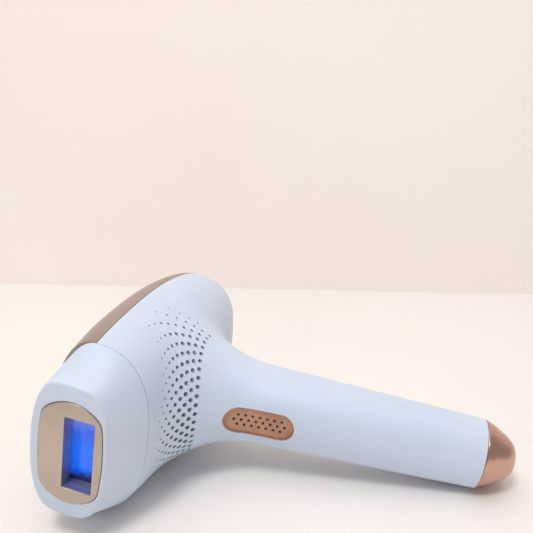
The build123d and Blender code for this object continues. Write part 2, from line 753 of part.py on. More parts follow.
# spun metal end cap with the opening for the power plug
with BuildPart() as end_cap:
    with BuildSketch(Plane(handle_root, x_dir=along, z_dir=(0, 0, 1))):
        with BuildLine():
            base = HANDLE_END + 0.2
            dome = Spline((base, END_RADIUS), *[(HANDLE_END + further, radius) for further, radius in CAP_CURVE])
            Polyline(
                dome @ 1,
                (HANDLE_END + CAP_LENGTH, INLET_RADIUS),
                (base - CAP_SPIGOT, INLET_RADIUS),
                (base - CAP_SPIGOT, END_RADIUS - WALL - FIT),
                (base, END_RADIUS - WALL - FIT),
                dome @ 0,
            )
        make_face()
    revolve(axis=Axis(handle_root, along))
    with BuildSketch(across_handle(HANDLE_END - CAP_SPIGOT)):
        Circle(CAP_HOLLOW)
    extrude(amount=JACK_FACE + 0.2 - HANDLE_END + CAP_SPIGOT, mode=Mode.SUBTRACT)
end_cap.part.label = "end_cap"

with BuildPart() as power_jack:
    with BuildSketch(across_handle(JACK_FACE - JACK_LENGTH)):
        Rectangle(10, 9)
    extrude(amount=JACK_LENGTH)
    with BuildSketch(across_handle(JACK_FACE - JACK_LENGTH + 2)):
        Circle(2.9)
        Circle(1.0, mode=Mode.SUBTRACT)
    extrude(amount=JACK_LENGTH, mode=Mode.SUBTRACT)
power_jack.part.label = "power_jack"

# ------------------------------------------------------- laid down on the right cheek
pieces = [
    left_shell,
    right_shell,
    shell_screws,
    top_panel,
    display_lens,
    level_button,
    mode_button,
    contact_plate,
    cartridge_housing,
    window_sleeve,
    filter_glass,
    lamp_carrier,
    reflector,
    lamp_tube,
    lamp_ferrules,
    cartridge_lid,
    cartridge_blades,
    cartridge_socket,
    socket_terminals,
    heat_sink,
    fan_frame,
    fan_pin,
    fan_rotor,
    main_board,
    step_up_transformer,
    trigger_coil,
    power_transistors,
    flash_capacitor,
    control_board,
    display_module,
    key_switches,
    flash_button,
    flash_switch,
    flash_board,
    intake_grille,
    end_cap,
    power_jack,
]
tilted = Location((0, 0, 0), (0, REST_TILT, 0))
laid = Compound([piece.part.moved(tilted) for piece in pieces]).bounding_box()
resting = Location((-laid.center().X, -laid.center().Y, -laid.min.Z)) * tilted

for piece in pieces:
    piece.part.move(resting)
    export_step(piece.part, f"parts/{piece.part.label}.step")
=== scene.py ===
import json
from math import atan2, cos, pi, radians, sin

import bmesh
import bpy
from mathutils import Matrix, Vector
from mathutils.bvhtree import BVHTree


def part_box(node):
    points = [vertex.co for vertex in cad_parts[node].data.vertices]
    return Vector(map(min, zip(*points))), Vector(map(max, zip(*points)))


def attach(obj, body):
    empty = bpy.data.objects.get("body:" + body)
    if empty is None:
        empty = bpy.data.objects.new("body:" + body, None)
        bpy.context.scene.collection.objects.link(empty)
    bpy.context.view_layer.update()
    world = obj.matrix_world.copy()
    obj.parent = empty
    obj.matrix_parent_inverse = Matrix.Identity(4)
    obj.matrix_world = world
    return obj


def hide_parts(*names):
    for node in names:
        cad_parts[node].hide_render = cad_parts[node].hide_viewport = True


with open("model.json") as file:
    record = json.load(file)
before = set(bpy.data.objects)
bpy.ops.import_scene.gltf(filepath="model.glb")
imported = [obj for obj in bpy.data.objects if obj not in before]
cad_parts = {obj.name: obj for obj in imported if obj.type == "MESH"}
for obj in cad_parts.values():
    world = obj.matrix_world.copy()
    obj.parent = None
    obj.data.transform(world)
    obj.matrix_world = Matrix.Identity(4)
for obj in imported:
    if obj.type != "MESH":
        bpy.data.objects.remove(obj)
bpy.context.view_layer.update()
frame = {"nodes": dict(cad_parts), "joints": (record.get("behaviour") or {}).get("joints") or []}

# ---------------------------------------------------------------------------------------
# How the device lies.  Every piece is drawn about the middle of the contact plate, in
# millimetres, X down the handle and Y into the head, and then laid on its right cheek.
# The tilt is read from the way the level key presses, which is square to the panel.
MM = 0.001
PLATE_FRONT = -0.4
plate_low, plate_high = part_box("contact_plate")
press = next(joint for joint in frame["joints"] if joint["name"] == "level_press")["axis"]
plate_middle = Vector(
    ((plate_low[0] + plate_high[0]) / 2, plate_low[1] - PLATE_FRONT * MM, (plate_low[2] + plate_high[2]) / 2)
)
lean_over = Matrix.Rotation(atan2(-press[2], press[0]), 4, "Y")
lie_down = Matrix.Translation(plate_middle) @ lean_over @ Matrix.Scale(MM, 4)

# ---------------------------------------------------------------------------------------
# Head and grip casing: two halves moulded in cool-white ABS with a fine satin texture.
# The head is a rounded loft whose widest line lies above its middle; the neck flares out
# of it into the tapering grip, and the whole reads as one skin.
HEAD = (
    (12.0, -17.5, -1.9, 20.0, 34.5),
    (18.0, -18.5, -2.3, 21.5, 36.2),
    (40.0, -22.0, -4.0, 24.5, 37.8),
    (70.0, -23.0, -5.0, 26.0, 39.2),
    (95.0, -20.5, -4.5, 25.5, 38.4),
    (115.0, -15.0, -2.5, 22.5, 34.8),
    (128.0, -8.0, 0.5, 17.5, 27.0),
    (134.0, -0.5, 4.0, 11.5, 16.0),
    (136.2, 4.9, 5.5, 6.1, 0.8),
)
NECK = (
    (6.0, 51.0, 36.0),
    (16.0, 43.0, 33.0),
    (21.0, 36.0, 29.8),
    (26.0, 30.0, 26.4),
    (31.0, 25.6, 23.4),
    (37.0, 21.8, 20.9),
    (44.0, 19.2, 19.1),
    (52.0, 17.9, 17.9),
    (76.0, 17.2, 17.2),
    (100.0, 16.5, 16.5),
    (125.0, 15.8, 15.8),
    (150.0, 15.1, 15.1),
    (156.0, 14.9, 14.9),
)
SEAM_Y = 18.0
SEAM_GAP = 0.3
AXIS_Y = 64.1
GRIP_END = 150.0
GRIP_LEAN = radians(5)
WALL = 2.2
VOXEL = 1.8
VENT_INNER = 24.0
VENT_PITCH = 1.9
VENT_STRETCH = 1.12
VENT_STEP = radians(8)
VENT_DEPTH = 2.6
VENT_SHADE = 0.75
GRILLE_A = 54.8
GRILLE_LENGTH = 30.0
GRILLE_WIDTH = 12.2
FIRE_A = 60.0
FIRE_LENGTH = 20.0
FIRE_WIDTH = 10.0
SCREWS = ((16.0, 112.0), (84.0, 71.4), (138.0, 76.2))
SCREW_SEAT = 6.0
SCREW_HEAD_RADIUS = 2.4
SCREW_HEAD_DEPTH = 1.7
CREASE_NEAR = 8
CREASE_FAR = 42
CREASE_FRONT = 45
CREASE_BACK = 58
CREASE_ROUNDS = 28
PANEL_CLEAR = 0.12
GRILLE_CLEAR = 0.25
FIRE_CLEAR = 0.6

down_grip = Vector((cos(GRIP_LEAN), sin(GRIP_LEAN), 0))
grip_front = Vector((sin(GRIP_LEAN), -cos(GRIP_LEAN), 0))
grip_root = Vector((0, AXIS_Y, 0))


def between(stations, place):
    """The station at a place along the loft, on a smooth curve through its neighbours."""
    last = len(stations) - 2
    i = max(0, min(last, sum(1 for station in stations if station[0] <= place) - 1))
    ahead, behind = stations[i + 1], stations[i]
    before, after = stations[max(0, i - 1)], stations[min(last + 1, i + 2)]
    span = ahead[0] - behind[0]
    t = (place - behind[0]) / span
    values = []
    for k in range(1, len(behind)):
        slope_in = (ahead[k] - before[k]) / (ahead[0] - before[0]) * span
        slope_out = (after[k] - behind[k]) / (after[0] - behind[0]) * span
        values.append(
            (2 * t**3 - 3 * t**2 + 1) * behind[k]
            + (t**3 - 2 * t**2 + t) * slope_in
            + (3 * t**2 - 2 * t**3) * ahead[k]
            + (t**3 - t**2) * slope_out
        )
    return values


def oval(crown, edge, belly, half_width, turn, crown_power=2.2, belly_power=2.5):
    """A point of the rounded section: its height X and its width Z at a turn round it."""
    power = belly_power if cos(turn) > 0 else crown_power
    depth = belly - edge if cos(turn) > 0 else edge - crown
    reach = (abs(cos(turn)) ** power + abs(sin(turn)) ** power) ** (-1 / power)
    return edge + depth * reach * cos(turn), half_width * reach * sin(turn)


def head_point(y, turn, inset=0):
    """A point of the head's skin, or of a surface the inset below it."""
    crown, edge, belly, half_width = between(HEAD, y)
    x, z = oval(crown + inset, edge, belly - inset, half_width - inset, turn)
    return Vector((x, y, z))


def grip_point(distance, turn, inset=0):
    """A point of the neck and grip's skin; turn zero looks out of the grip's front."""
    deep, wide = between(NECK, distance)
    across = grip_front * (deep - inset) * cos(turn) + Vector((0, 0, wide - inset)) * sin(turn)
    return grip_root + down_grip * distance + across


def wrapped(around, lengthways, place):
    """A sheet of squares wrapped into a closed tube by place(turn, length), ends filled."""
    bm = bmesh.new()
    bmesh.ops.create_grid(bm, x_segments=around, y_segments=lengthways, size=0.5)
    for vert in bm.verts:
        vert.co = place(2 * pi * (vert.co.x + 0.5), vert.co.y + 0.5)
    bmesh.ops.remove_doubles(bm, verts=bm.verts, dist=1e-4)
    bmesh.ops.holes_fill(bm, edges=bm.edges, sides=0)
    bmesh.ops.recalc_face_normals(bm, faces=bm.faces)
    return bm


def prism(points, base, top):
    """A straight-sided plug: a flat outline given as 3-D points, swept from base to top."""
    bm = bmesh.new()
    face = bm.faces.new([bm.verts.new(point + base) for point in points])
    swept = bmesh.ops.extrude_face_region(bm, geom=[face])["geom"]
    risen = [part for part in swept if isinstance(part, bmesh.types.BMVert)]
    bmesh.ops.translate(bm, verts=risen, vec=top - base)
    bmesh.ops.recalc_face_normals(bm, faces=bm.faces)
    return bm


def slot_outline(length, width, steps=14):
    """Outline of a slot with round ends, lying along X and Y."""
    points = []
    for i in range(2 * steps):
        turn = pi * (i + 0.5) / steps - pi / 2
        shove = (length - width) / 2 * (1 if cos(turn) > 0 else -1)
        points.append((shove + width / 2 * cos(turn), width / 2 * sin(turn)))
    return points


def join(*shapes):
    """Several meshes gathered into the first."""
    for shape in shapes[1:]:
        mesh = bpy.data.meshes.new("gathered")
        shape.to_mesh(mesh)
        shape.free()
        shapes[0].from_mesh(mesh)
        bpy.data.meshes.remove(mesh)
    return shapes[0]


def through_modifier(bm, kind, cutter=None, **settings):
    """The mesh as one modifier leaves it."""
    made = []
    for shape in [bm] + ([cutter] if cutter else []):
        mesh = bpy.data.meshes.new("worked")
        shape.to_mesh(mesh)
        shape.free()
        made.append(bpy.data.objects.new("worked", mesh))
        bpy.context.collection.objects.link(made[-1])
    modifier = made[0].modifiers.new("work", kind)
    for key, value in settings.items():
        setattr(modifier, key, value)
    if cutter:
        modifier.object = made[1]
    result = bmesh.new()
    result.from_object(made[0], bpy.context.evaluated_depsgraph_get())
    for done in made:
        mesh = done.data
        bpy.data.objects.remove(done)
        bpy.data.meshes.remove(mesh)
    return result


def carve(bm, cutter):
    """The mesh with another closed mesh cut out of it."""
    return through_modifier(bm, "BOOLEAN", cutter, operation="DIFFERENCE", solver="EXACT")


def trim(bm, point, outward):
    """Cut the mesh square at a plane, drop what lies outward and close the cut."""
    parts = bm.verts[:] + bm.edges[:] + bm.faces[:]
    cut = bmesh.ops.bisect_plane(bm, geom=parts, plane_co=point, plane_no=outward, clear_outer=True)
    edges = [part for part in cut["geom_cut"] if isinstance(part, bmesh.types.BMEdge)]
    bmesh.ops.holes_fill(bm, edges=edges, sides=0)


def crown_line(shift):
    """The line along which casing and top panel meet, as points (X, Y), moved by a shift."""
    points = []
    for i in range(41):
        y = SEAM_Y - 4 + (HEAD[-1][0] + 4 - SEAM_Y) * i / 40
        points.append((between(HEAD, y)[1] + shift, y))
    return points + [(points[-1][0], HEAD[-1][0] + 8)]


# the two forms, remeshed into one skin; the crease where they meet is rubbed smooth
def head_skin(turn, length):
    return head_point(HEAD[0][0] + (HEAD[-1][0] - HEAD[0][0]) * sin(length * pi / 2), turn)


def grip_skin(turn, length):
    return grip_point(NECK[0][0] + (NECK[-1][0] - NECK[0][0]) * length, turn)


forms = join(wrapped(96, 90, head_skin), wrapped(64, 110, grip_skin))
form_tree = BVHTree.FromBMesh(forms)
casing = through_modifier(forms, "REMESH", mode="VOXEL", voxel_size=VOXEL)
crease = []
for vert in casing.verts:
    vert.co = form_tree.find_nearest(vert.co)[0]
    away = vert.co - grip_root
    from_axis = (away - down_grip * away.dot(down_grip)).length
    reach = CREASE_FRONT if vert.co.y < AXIS_Y else CREASE_BACK
    if CREASE_NEAR < vert.co.x < CREASE_FAR and from_axis < reach:
        crease.append(vert)
every_axis = {"use_axis_x": True, "use_axis_y": True, "use_axis_z": True}
for _ in range(CREASE_ROUNDS):
    bmesh.ops.smooth_vert(casing, verts=crease, factor=0.5, **every_axis)
bmesh.ops.smooth_vert(casing, verts=casing.verts, factor=0.4, **every_axis)
casing = through_modifier(casing, "SUBSURF", levels=1, render_levels=1)
trim(casing, (0, SEAM_Y + SEAM_GAP / 2, 0), (0, -1, 0))
trim(casing, grip_root + down_grip * GRIP_END, down_grip)

# where the panel, the cartridge socket, the grille and the fire button are let in
panel_seat = prism(
    [Vector((x, y, 0)) for x, y in crown_line(PANEL_CLEAR) + [(-40, 145), (-40, 10)]],
    Vector((0, 0, -60)),
    Vector((0, 0, 60)),
)
socket_well = wrapped(64, 4, lambda turn, length: head_point(13 + 13 * length, turn, WALL))
on_front = [grip_root + down_grip * (GRILLE_A + a) + Vector((0, 0, z)) for a, z in
            slot_outline(GRILLE_LENGTH + GRILLE_CLEAR, GRILLE_WIDTH + GRILLE_CLEAR)]
grille_well = prism(on_front, grip_front * 12, grip_front * 24)
on_back = [grip_root + down_grip * (FIRE_A + a) + Vector((0, 0, z)) for a, z in
           slot_outline(FIRE_LENGTH + FIRE_CLEAR, FIRE_WIDTH + FIRE_CLEAR)]
fire_well = prism(on_back, grip_front * -13.5, grip_front * -24)
screw_wells = []
for x, y in SCREWS:
    turns = [2 * pi * i / 24 for i in range(24)]
    rim = [Vector((x + SCREW_HEAD_RADIUS * cos(turn), y + SCREW_HEAD_RADIUS * sin(turn), 0))
           for turn in turns]
    screw_wells.append(prism(rim, Vector((0, 0, -SCREW_SEAT - SCREW_HEAD_DEPTH)), Vector((0, 0, -45))))
casing = carve(casing, panel_seat)
casing = carve(casing, join(socket_well, grille_well, fire_well, *screw_wells))

# vents: staggered rings round the neck, drilled down the handle's way, smaller outwards.
# They are blind, and their depths are painted a darker grey: painted shade for the dark inside of the holes.
VENT_RADII = (0.95, 1.02, 1.0, 0.95, 0.86, 0.74, 0.6, 0.45, 0.33)
casing_tree = BVHTree.FromBMesh(casing)
drills = bmesh.new()
for ring, radius in enumerate(VENT_RADII):
    reach = VENT_INNER + VENT_PITCH * ring
    for step in range(-14, 15):
        turn = (step + 0.5 * (ring % 2)) * VENT_STEP
        fade = 1 - max(0, abs(turn) - radians(62)) / radians(34) * (0.3 + 0.12 * ring)
        y, z = AXIS_Y - reach * cos(turn), VENT_STRETCH * reach * sin(turn)
        hit, normal, _, _ = casing_tree.ray_cast(Vector((70, y, z)), Vector((-1, 0, 0)))
        if hit and abs(turn) < radians(97) and fade > 0.25 and normal.x > 0.05 and y > SEAM_Y + 2.5:
            bore = (normal + Vector((1.2, 0, 0))).normalized()
            place = Matrix.Translation(hit + bore * 0.2) @ bore.to_track_quat("Z", "Y").to_matrix().to_4x4()
            bmesh.ops.create_cone(
                drills, cap_ends=True, cap_tris=False, segments=12, radius1=radius * fade * 0.9,
                radius2=radius * fade * 1.05, depth=2 * VENT_DEPTH, matrix=place,
            )
casing = carve(casing, drills)
# faces lying deeper than VENT_SHADE below the skin take the second material, the painted shade
for face in casing.faces:
    middle = face.calc_center_median()
    depth = casing_tree.find_nearest(middle, 6)
    face.material_index = 1 if middle.x > 5 and depth[0] and depth[3] > VENT_SHADE else 0


# Tiny helpers for materials: sRGB hex to linear colour, and one node with its links.
def hue(code):
    """Linear colour from an sRGB hex code."""
    parts = [int(code[i : i + 2], 16) / 255 for i in (1, 3, 5)]
    return tuple(c / 12.92 if c <= 0.04045 else ((c + 0.055) / 1.055) ** 2.4 for c in parts) + (1,)


def add_node(tree, kind, settings, links):
    """Add a node, set its properties and inputs, and join the sockets named in links."""
    made = tree.nodes.new(kind)
    for key, value in settings.items():
        if isinstance(key, str) and hasattr(made, key):
            setattr(made, key, value)
        else:
            made.inputs[key].default_value = value
    for key, source in links.items():
        tree.links.new(source, made.inputs[key])
    return made


def start_material(name, colour, roughness, metallic=0.0):
    """A new material with its surface shader and Object coordinates, and the node tree."""
    material = bpy.data.materials.new(name)
    material.use_nodes = True
    tree = material.node_tree
    shader = tree.nodes["Principled BSDF"]
    shader.inputs["Base Color"].default_value = hue(colour)
    shader.inputs["Roughness"].default_value = roughness
    shader.inputs["Metallic"].default_value = metallic
    where = tree.nodes.new("ShaderNodeTexCoord").outputs["Object"]
    return material, tree, shader, where


def tint(tree, shader, where, size_mm, first, second):
    """Slow variation of colour between two near hues, blotches of the given size."""
    noise = add_node(
        tree, "ShaderNodeTexNoise", {"Scale": 1 / (size_mm * MM), "Detail": 3.0}, {"Vector": where}
    )
    ramp = add_node(tree, "ShaderNodeValToRGB", {}, {"Fac": noise.outputs["Fac"]})
    ramp.color_ramp.elements[0].position = 0.35
    ramp.color_ramp.elements[1].position = 0.65
    ramp.color_ramp.elements[0].color = hue(first)
    ramp.color_ramp.elements[1].color = hue(second)
    tree.links.new(ramp.outputs["Color"], shader.inputs["Base Color"])


def grain(tree, shader, where, size_mm, depth_mm, strength):
    """Fine relief of the given grain size, as a texture moulded or blasted into it."""
    noise = add_node(
        tree, "ShaderNodeTexNoise", {"Scale": 1 / (size_mm * MM), "Detail": 2.0}, {"Vector": where}
    )
    bump = add_node(
        tree, "ShaderNodeBump", {"Strength": strength, "Distance": depth_mm * MM},
        {"Height": noise.outputs["Fac"]},
    )
    tree.links.new(bump.outputs["Normal"], shader.inputs["Normal"])


def rough_range(tree, shader, where, size_mm, low, high):
    """Roughness that drifts between two values, as handling leaves it."""
    noise = add_node(
        tree, "ShaderNodeTexNoise", {"Scale": 1 / (size_mm * MM), "Detail": 4.0}, {"Vector": where}
    )
    spread = add_node(
        tree, "ShaderNodeMapRange", {"To Min": low, "To Max": high}, {"Value": noise.outputs["Fac"]}
    )
    tree.links.new(spread.outputs["Result"], shader.inputs["Roughness"])


# satin moulded ABS: spark-eroded mould texture, 0.5 mm grain, a soft even sheen
abs_white, tree, shader, where = start_material("satin_moulded_abs", "#CFDCEF", 0.42)
tint(tree, shader, where, 45, "#CBD9EC", "#D2DEF1")
grain(tree, shader, where, 0.5, 0.02, 0.35)
rough_range(tree, shader, where, 30, 0.38, 0.48)
shader.inputs["IOR"].default_value = 1.53


def put(bm, name, body, material, stands_for=(), crisp=40, second=None):
    """Lay a finished shape down with the device and make it a piece of its body."""
    bmesh.ops.transform(bm, matrix=lie_down, verts=bm.verts)
    mesh = bpy.data.meshes.new(name)
    bm.to_mesh(mesh)
    bm.free()
    mesh.shade_smooth()
    mesh.set_sharp_from_angle(angle=radians(crisp))
    mesh.materials.append(material)
    if second:
        mesh.materials.append(second)
    piece = bpy.data.objects.new(name, mesh)
    bpy.context.collection.objects.link(piece)
    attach(piece, body)
    if stands_for:
        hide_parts(*stands_for)


# the depths of the vents: a dull grey that never shines, painted shade
vent_painted_shade, tree, shader, where = start_material("painted_vent_shade_grey", "#9BA5B1", 0.9)
tint(tree, shader, where, 1.5, "#8F99A6", "#A7B1BD")
# the casing, with the painted vent shade as its second material
put(casing, "casing", "handpiece", abs_white, ("left_shell", "right_shell"), second=vent_painted_shade)

# ---------------------------------------------------------------------------------------
# Top panel: a separate moulded cover over the whole crown, lacquered satin rose gold.
# It snaps in flush with the casing; the display window and the two keys come through it.
PANEL_SHEET = 2.0
LENS_Y = 68.0
LENS_WIDTH = 20.0
LENS_LENGTH = 26.0
LEVEL_Y = 91.0
MODE_Y = 106.0
LEVEL_RADIUS = 6.5
MODE_RADIUS = 5.0


def panel_skin(inset):
    """One face of the panel: the crown half of the head, edge to edge."""

    def place(vert):
        start = SEAM_Y + SEAM_GAP / 2
        y = start + (HEAD[-1][0] - 0.3 - start) * sin((vert.co.y + 0.5) * pi / 2)
        turn = pi / 2 + pi * (vert.co.x + 0.5)
        point = head_point(y, turn, inset)
        return point - Vector((PANEL_CLEAR, 0, 0))

    return place


panel = bmesh.new()
bmesh.ops.create_grid(panel, x_segments=80, y_segments=90, size=0.5)
place = panel_skin(0)
for vert in panel.verts:
    vert.co = place(vert)
bmesh.ops.recalc_face_normals(panel, faces=panel.faces)
if sum(face.normal.x for face in panel.faces) > 0:
    bmesh.ops.reverse_faces(panel, faces=panel.faces)
panel = through_modifier(panel, "SOLIDIFY", thickness=PANEL_SHEET, offset=-1)
rims = [edge for edge in panel.edges if edge.is_manifold and edge.calc_face_angle() > radians(60)]
bmesh.ops.bevel(panel, geom=rims, offset=0.35, segments=3, affect="EDGES", profile=0.5, material=-1)


def round_rim(y, radius):
    """Outline of a round opening in the panel."""
    return [Vector((0, y + radius * cos(2 * pi * i / 48), radius * sin(2 * pi * i / 48))) for i in range(48)]


lens_rim = []
for i in range(48):
    turn = 2 * pi * (i + 0.5) / 48
    reach = (abs(cos(turn)) ** 7 + abs(sin(turn)) ** 7) ** (-1 / 7)
    along = (LENS_LENGTH / 2 + 0.1) * reach * cos(turn)
    across = (LENS_WIDTH / 2 + 0.1) * reach * sin(turn)
    lens_rim.append(Vector((0, LENS_Y + along, across)))
up, deep = Vector((-40, 0, 0)), Vector((-8, 0, 0))
panel = carve(
    panel,
    join(
        prism(lens_rim, up, deep),
        prism(round_rim(LEVEL_Y, LEVEL_RADIUS + 0.3), up, deep),
        prism(round_rim(MODE_Y, MODE_RADIUS + 0.3), up, deep),
    ),
)
# rose-gold lacquer over a moulded panel: metal flake too fine to see, satin clear coat
rose_lacquer, tree, shader, where = start_material("satin_rose_gold_lacquer", "#A5938A", 0.38, 0.6)
tint(tree, shader, where, 60, "#A08E85", "#AA988F")
grain(tree, shader, where, 0.35, 0.01, 0.25)
shader.inputs["Coat Weight"].default_value = 0.35
shader.inputs["Coat Roughness"].default_value = 0.25
put(panel, "crown_panel", "handpiece", rose_lacquer, ("top_panel",))

# ---------------------------------------------------------------------------------------
# Cartridge nose: the moulded front that pulls off with the lamp.  It narrows from the
# seam to a barrel-shaped bezel, its two ends scooped back and cut off flat.
NOSE = (
    # distance back, crown, edge, belly, half width, where the ends are cut off
    (0.0, -15.0, -1.3, 12.6, 28.2, 26.9),
    (0.35, -15.9, -1.3, 13.4, 29.1, 27.8),
    (1.2, -16.5, -1.3, 14.0, 29.7, 28.4),
    (2.6, -16.9, -1.35, 14.5, 30.2, 28.9),
    (5.0, -17.4, -1.5, 15.6, 31.0, 30.0),
    (9.0, -17.9, -1.8, 17.6, 32.4, 32.2),
    (13.5, -18.3, -2.1, 19.7, 34.3, 35.0),
    (17.85, -18.5, -2.3, 21.5, 36.2, 38.0),
)


def eased_min(first, second, ease):
    """The smaller of two numbers, blended where they come within the ease of each other."""
    near = max(ease - abs(first - second), 0) / ease
    return min(first, second) - near * near * ease / 4


def nose_point(turn, length, inset=0):
    """A point of the nose's skin; the bezel end is squarer than the seam end."""
    y = NOSE[0][0] + (NOSE[-1][0] - NOSE[0][0]) * length**1.7
    crown, edge, belly, half_width, cut = between(NOSE, y)
    crown_square = 2.6 - 0.7 * length
    belly_square = 2.7 - 0.2 * length
    x, z = oval(crown + inset, edge, belly - inset, half_width - inset, turn, crown_square, belly_square)
    flat = eased_min(abs(z), cut, 1.5 + 4.5 * sin(pi * length))
    return Vector((x, y, flat if z > 0 else -flat))


nose = wrapped(120, 40, nose_point)

PLATE_SIDE = 12.6
PLATE_CORNER_X = 11.4
PLATE_CORNER_Z = 16.0
PLATE_CROWN = 21.3
PLATE_CORNER = 2.4


def plate_outline(margin):
    """Outline of the contact plate: bowed sides and ends that meet in four corners."""
    side, corner_x = PLATE_SIDE + margin, PLATE_CORNER_X + margin
    corner_z, crown = PLATE_CORNER_Z + margin, PLATE_CROWN + margin
    points = []
    for turn in range(4):
        for t in (1.0, 0.72, 0.5, 0.25, 0.0, -0.25, -0.5, -0.72):
            along_side = (side - (side - corner_x) * t * t, corner_z * t)
            along_end = (-corner_x * -t, -(crown - (crown - corner_z) * t * t))
            x, z = along_side if turn % 2 == 0 else along_end
            points.append((x, z) if turn < 2 else (-x, -z))
    return points


def round_corners(bm, width):
    """Round the upright edges of a prism where its outline turns by more than twenty degrees."""
    upright = [edge for edge in bm.edges if edge.calc_face_angle(0) > radians(20)
               and abs(edge.verts[0].co.y - edge.verts[1].co.y) > 0.5]
    bmesh.ops.bevel(bm, geom=upright, offset=width, segments=7, affect="EDGES", profile=0.5, material=-1)


WINDOW_X = 3.3
TUNNEL_HALF_X = 7.1
TUNNEL_HALF_Z = 16.2
bed_rim = [Vector((x, 0, z)) for x, z in plate_outline(0.22)]
plate_bed = prism(bed_rim, Vector((0, -2, 0)), Vector((0, 1.3, 0)))
round_corners(plate_bed, PLATE_CORNER)
tunnel_rim = [Vector((WINDOW_X + x * TUNNEL_HALF_X, 0, z * TUNNEL_HALF_Z))
              for x, z in ((1, 1), (-1, 1), (-1, -1), (1, -1))]
tunnel = prism(tunnel_rim, Vector((0, 0.9, 0)), Vector((0, 8.5, 0)))
cavity = wrapped(64, 6, lambda turn, length: nose_point(turn, 0.6 + 0.42 * length, WALL))
nose = carve(nose, plate_bed)
nose = carve(nose, tunnel)
nose = carve(nose, cavity)
put(nose, "cartridge_nose", "cartridge", abs_white, ("cartridge_housing",), crisp=32)

# ---------------------------------------------------------------------------------------
# Contact plate: a bead-blasted, champagne anodised aluminium stamping that touches the
# skin.  It drops into the bezel with a hairline gap; its rim and window edge are eased.
WINDOW_HALF_X = 5.9
WINDOW_HALF_Z = 15.0


def window_outline(margin, corner=0.7):
    """Outline of the light window in the plate, its corners a little rounded."""
    points = []
    for side_x, side_z in ((1, 1), (-1, 1), (-1, -1), (1, -1)):
        turns = [pi / 2 * i / 5 for i in range(6)]
        if side_x * side_z < 0:
            turns.reverse()
        for turn in turns:
            points.append(
                (WINDOW_X + side_x * (WINDOW_HALF_X + margin - corner + corner * cos(turn)),
                 side_z * (WINDOW_HALF_Z + margin - corner + corner * sin(turn)))
            )
    return points


plate_rim = [Vector((x, 0, z)) for x, z in plate_outline(0)]
plate = prism(plate_rim, Vector((0, PLATE_FRONT, 0)), Vector((0, 1.2, 0)))
round_corners(plate, PLATE_CORNER)
window = prism([Vector((x, 0, z)) for x, z in window_outline(0)], Vector((0, -3, 0)), Vector((0, 3, 0)))
plate = carve(plate, window)
bmesh.ops.remove_doubles(plate, verts=plate.verts, dist=0.01)
bmesh.ops.dissolve_limit(plate, angle_limit=radians(1), verts=plate.verts, edges=plate.edges)
plate_rims = [edge for edge in plate.edges if edge.calc_face_angle(0) > radians(60)
              and edge.verts[0].co.y < 0 and edge.verts[1].co.y < 0]
bmesh.ops.bevel(plate, geom=plate_rims, offset=0.3, segments=4, affect="EDGES", profile=0.5, material=-1)
# champagne anodising over bead-blasted aluminium: a warm, even metal with no mirror in it
champagne, tree, shader, where = start_material(
    "bead_blasted_champagne_anodised_aluminium", "#C0B2A5", 0.4, 0.85
)
tint(tree, shader, where, 25, "#BAAC9F", "#C6B8AB")
grain(tree, shader, where, 0.25, 0.012, 0.45)
rough_range(tree, shader, where, 12, 0.36, 0.46)
put(plate, "plate_stamping", "cartridge", champagne, ("contact_plate",), crisp=50)

# ---------------------------------------------------------------------------------------
# Window sleeve: the bright aluminium tunnel between plate and filter, drawn from sheet.
# Its lilac grey is a painted reflection of the blue filter behind it.
# drawn aluminium: soft blurred reflections; its lilac grey is painted light from the filter
sleeve_metal, tree, shader, where = start_material("drawn_bright_aluminium", "#A9A9BC", 0.42, 0.7)
tint(tree, shader, where, 9, "#A1A1B5", "#B1B1C3")
grain(tree, shader, where, 0.4, 0.01, 0.25)
rough_range(tree, shader, where, 5, 0.36, 0.48)


def dress(material, *nodes):
    """Give engineering nodes their material; their shape stays as it is."""
    for node in nodes:
        mesh = frame["nodes"][node].data
        mesh.materials.clear()
        mesh.materials.append(material)


dress(sleeve_metal, "window_sleeve")

# ---------------------------------------------------------------------------------------
# Filter: a polished glass block whose coating sends back blue.  Its colour is painted paler
# towards the top edge, painted light for light caught inside, and dark at its foot, painted shade of the
# sleeve.
# dichroic filter glass: glossy deep blue, with a faint painted glow that stands for caught light
filter_blue, tree, shader, where = start_material("dichroic_coated_filter_glass", "#0B62F2", 0.07, 0.0)
height = add_node(tree, "ShaderNodeSeparateXYZ", {}, {"Vector": where})
plate_high_z, plate_low_z = plate_middle.z + 0.0148, plate_middle.z - 0.0148
rise = add_node(
    tree, "ShaderNodeMapRange", {"From Min": plate_low_z, "From Max": plate_high_z},
    {"Value": height.outputs["Z"]},
)
blotch = add_node(tree, "ShaderNodeTexNoise", {"Scale": 380.0, "Detail": 3.0}, {"Vector": where})
mixed = add_node(
    tree, "ShaderNodeMath", {"operation": "MULTIPLY_ADD", 1: 0.22},
    {0: blotch.outputs["Fac"], 2: rise.outputs["Result"]},
)
# the ramp paints the shade at the foot dark and the light towards the top pale
ramp = add_node(tree, "ShaderNodeValToRGB", {}, {"Fac": mixed.outputs["Value"]})
ramp.color_ramp.elements[0].position, ramp.color_ramp.elements[0].color = 0.14, hue("#0A1A5C")
ramp.color_ramp.elements[1].position, ramp.color_ramp.elements[1].color = 0.24, hue("#0068FF")
for position, code in ((0.6, "#0070FF"), (0.8, "#2A66F4"), (1.0, "#7C8CE8")):
    stop = ramp.color_ramp.elements.new(position)
    stop.color = hue(code)
tree.links.new(ramp.outputs["Color"], shader.inputs["Base Color"])
# painted glow: the same painted colour also drives a faint emission
tree.links.new(ramp.outputs["Color"], shader.inputs["Emission Color"])
shader.inputs["Emission Strength"].default_value = 0.4
shader.inputs["IOR"].default_value = 1.52
dress(filter_blue, "filter_glass")

